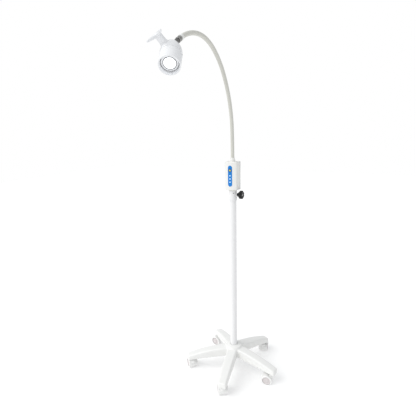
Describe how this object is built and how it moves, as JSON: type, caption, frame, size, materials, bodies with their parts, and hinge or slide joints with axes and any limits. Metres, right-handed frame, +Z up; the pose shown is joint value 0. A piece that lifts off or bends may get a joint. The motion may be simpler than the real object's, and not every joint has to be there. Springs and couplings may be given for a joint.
{
  "type": "surgical light",
  "caption": "Mobile examination light: castered star base, telescoping pole with clamp knob, control box, gooseneck and bullet lamp head with T-handle.",
  "frame": {"origin": "on the floor under the pole axis", "axes": "+Z up the pole, -Y is the front of the control box and the way the gooseneck curls, +X is the side of the clamp knob"},
  "size_m": [0.5211, 0.8543, 1.7285],
  "materials": {
    "base_paint": "satin white powder coat",
    "pole_paint": "gloss white powder coat",
    "white_plastic": "glossy white moulded plastic",
    "head_plastic": "glossy white moulded plastic",
    "panel_blue": "printed polyester overlay",
    "key_yellow": "translucent yellow key",
    "light_white": "frosted white light pipe",
    "knob_black": "black moulded nylon",
    "neck_sleeve": "ribbed warm white silicone sleeve",
    "chrome": "knurled dark chrome",
    "steel": "zinc plated steel",
    "aluminium": "machined aluminium",
    "nylon": "natural nylon",
    "caster_plastic": "light grey moulded nylon",
    "caster_tyre": "pale grey wheel",
    "dark_ring": "dark lens ring",
    "lens_clear": "clear lens",
    "reflector_metal": "vacuum metallised reflector",
    "circuit": "green circuit board",
    "inlet_black": "black socket"
  },
  "bodies": {
    "stand": {"base_star": "base_paint", "hub_ring": "base_paint", "pole_tube": "pole_paint", "pole_bolt": "steel", "stem_sockets": "steel", "pole_collar": "pole_paint", "collar_bush": "nylon"},
    "glide": {"glide_ring": "nylon"},
    "mast": {"mast_tube": "steel", "box_front": "white_plastic", "box_back": "white_plastic", "control_panel": "panel_blue", "light_pipes": "light_white", "circuit_board": "circuit", "power_inlet": "inlet_black", "box_screws": "steel", "neck_cone": "white_plastic", "neck_nut": "steel", "gooseneck_1": "neck_sleeve"},
    "key": {"power_key": "key_yellow"},
    "shoe": {"clamp_shoe": "nylon"},
    "knob": {"lock_knob": "knob_black", "lock_screw": "steel"},
    "neck_2": {"gooseneck_2": "neck_sleeve"},
    "neck_3": {"gooseneck_3": "neck_sleeve"},
    "neck_4": {"gooseneck_4": "neck_sleeve"},
    "neck_5": {"gooseneck_5": "neck_sleeve"},
    "neck_6": {"gooseneck_6": "neck_sleeve", "neck_ferrule": "white_plastic", "swivel_nut": "chrome"},
    "head": {"head_swivel": "chrome", "head_rear": "head_plastic", "head_bezel": "head_plastic", "lens": "lens_clear", "lens_gasket": "dark_ring", "reflector": "reflector_metal", "led_module": "aluminium", "heat_sink": "aluminium", "handle": "head_plastic", "handle_screw": "steel"},
    "caster_1": {"caster_hood_1": "caster_plastic", "caster_pins_1": "steel"},
    "wheel_left_1": {"caster_wheel_left_1": "caster_tyre"},
    "wheel_right_1": {"caster_wheel_right_1": "caster_tyre"},
    "caster_2": {"caster_hood_2": "caster_plastic", "caster_pins_2": "steel"},
    "wheel_left_2": {"caster_wheel_left_2": "caster_tyre"},
    "wheel_right_2": {"caster_wheel_right_2": "caster_tyre"},
    "caster_3": {"caster_hood_3": "caster_plastic", "caster_pins_3": "steel"},
    "wheel_left_3": {"caster_wheel_left_3": "caster_tyre"},
    "wheel_right_3": {"caster_wheel_right_3": "caster_tyre"},
    "caster_4": {"caster_hood_4": "caster_plastic", "caster_pins_4": "steel"},
    "wheel_left_4": {"caster_wheel_left_4": "caster_tyre"},
    "wheel_right_4": {"caster_wheel_right_4": "caster_tyre"},
    "caster_5": {"caster_hood_5": "caster_plastic", "caster_pins_5": "steel"},
    "wheel_left_5": {"caster_wheel_left_5": "caster_tyre"},
    "wheel_right_5": {"caster_wheel_right_5": "caster_tyre"}
  },
  "joints": [
    {"name": "mast_lift", "type": "slide", "parent": "stand", "child": "glide", "axis": [0, 0, 1], "range_m": [0, 0.3]},
    {"name": "mast_turn", "type": "hinge", "parent": "glide", "child": "mast", "pos_m": [0, 0, 1.0458], "axis": [0, 0, 1], "range_deg": [-170, 170]},
    {"name": "power_press", "type": "slide", "parent": "mast", "child": "key", "axis": [0, 1, 0], "range_m": [0, 0.001], "stiffness_N_per_m": 800},
    {"name": "shoe_travel", "type": "slide", "parent": "stand", "child": "shoe", "axis": [1, 0, 0], "range_m": [0, 0.0019]},
    {"name": "knob_turn", "type": "hinge", "parent": "shoe", "child": "knob", "pos_m": [0.03, 0, 1.02], "axis": [1, 0, 0], "range_deg": [0, 540]},
    {"name": "neck_curl_2", "type": "hinge", "parent": "mast", "child": "neck_2", "pos_m": [0, -0.00365, 1.34288], "axis": [1, 0, 0], "range_deg": [-30, 22]},
    {"name": "neck_sway_3", "type": "hinge", "parent": "neck_2", "child": "neck_3", "pos_m": [0, -0.02982, 1.47502], "axis": [0, 0.9438, 0.3305], "range_deg": [-28, 28]},
    {"name": "neck_curl_4", "type": "hinge", "parent": "neck_3", "child": "neck_4", "pos_m": [0, -0.09099, 1.59508], "axis": [1, 0, 0], "range_deg": [-30, 22]},
    {"name": "neck_sway_5", "type": "hinge", "parent": "neck_4", "child": "neck_5", "pos_m": [0, -0.18856, 1.68718], "axis": [0, 0.521, 0.8536], "range_deg": [-28, 28]},
    {"name": "neck_curl_6", "type": "hinge", "parent": "neck_5", "child": "neck_6", "pos_m": [0, -0.31774, 1.71903], "axis": [1, 0, 0], "range_deg": [-30, 22]},
    {"name": "head_swivel_turn", "type": "hinge", "parent": "neck_6", "child": "head", "pos_m": [0, -0.44494, 1.6777], "axis": [0, -0.8453, -0.5344], "range_deg": [-120, 120]},
    {"name": "caster_swivel_1", "type": "hinge", "parent": "stand", "child": "caster_1", "pos_m": [0.04484, -0.23068, 0.055], "axis": [0, 0, 1], "continuous": true},
    {"name": "wheel_spin_left_1", "type": "hinge", "parent": "caster_1", "child": "wheel_left_1", "pos_m": [0.0325, -0.21369, 0.025], "axis": [-0.809, -0.5878, 0], "continuous": true},
    {"name": "wheel_spin_right_1", "type": "hinge", "parent": "caster_1", "child": "wheel_right_1", "pos_m": [0.0325, -0.21369, 0.025], "axis": [-0.809, -0.5878, 0], "continuous": true},
    {"name": "caster_swivel_2", "type": "hinge", "parent": "stand", "child": "caster_2", "pos_m": [0.23325, -0.02864, 0.055], "axis": [0, 0, 1], "continuous": true},
    {"name": "wheel_spin_left_2", "type": "hinge", "parent": "caster_2", "child": "wheel_left_2", "pos_m": [0.21257, -0.03229, 0.025], "axis": [0.1736, -0.9848, 0], "continuous": true},
    {"name": "wheel_spin_right_2", "type": "hinge", "parent": "caster_2", "child": "wheel_right_2", "pos_m": [0.21257, -0.03229, 0.025], "axis": [0.1736, -0.9848, 0], "continuous": true},
    {"name": "caster_swivel_3", "type": "hinge", "parent": "stand", "child": "caster_3", "pos_m": [0.09932, 0.21298, 0.055], "axis": [0, 0, 1], "continuous": true},
    {"name": "wheel_spin_left_3", "type": "hinge", "parent": "caster_3", "child": "wheel_left_3", "pos_m": [0.09567, 0.23366, 0.025], "axis": [-0.9848, -0.1736, 0], "continuous": true},
    {"name": "wheel_spin_right_3", "type": "hinge", "parent": "caster_3", "child": "wheel_right_3", "pos_m": [0.09567, 0.23366, 0.025], "axis": [-0.9848, -0.1736, 0], "continuous": true},
    {"name": "caster_swivel_4", "type": "hinge", "parent": "stand", "child": "caster_4", "pos_m": [-0.17187, 0.16027, 0.055], "axis": [0, 0, 1], "continuous": true},
    {"name": "wheel_spin_left_4", "type": "hinge", "parent": "caster_4", "child": "wheel_left_4", "pos_m": [-0.19279, 0.1621, 0.025], "axis": [-0.0872, -0.9962, 0], "continuous": true},
    {"name": "wheel_spin_right_4", "type": "hinge", "parent": "caster_4", "child": "wheel_right_4", "pos_m": [-0.19279, 0.1621, 0.025], "axis": [-0.0872, -0.9962, 0], "continuous": true},
    {"name": "caster_swivel_5", "type": "hinge", "parent": "stand", "child": "caster_5", "pos_m": [-0.20554, -0.11393, 0.055], "axis": [0, 0, 1], "continuous": true},
    {"name": "wheel_spin_left_5", "type": "hinge", "parent": "caster_5", "child": "wheel_left_5", "pos_m": [-0.22162, -0.10043, 0.025], "axis": [-0.6428, -0.766, 0], "continuous": true},
    {"name": "wheel_spin_right_5", "type": "hinge", "parent": "caster_5", "child": "wheel_right_5", "pos_m": [-0.22162, -0.10043, 0.025], "axis": [-0.6428, -0.766, 0], "continuous": true}
  ],
  "couplings": [
    {"joint": "shoe_travel", "follows": "knob_turn", "m_per_rad": 0.0002016}
  ]
}
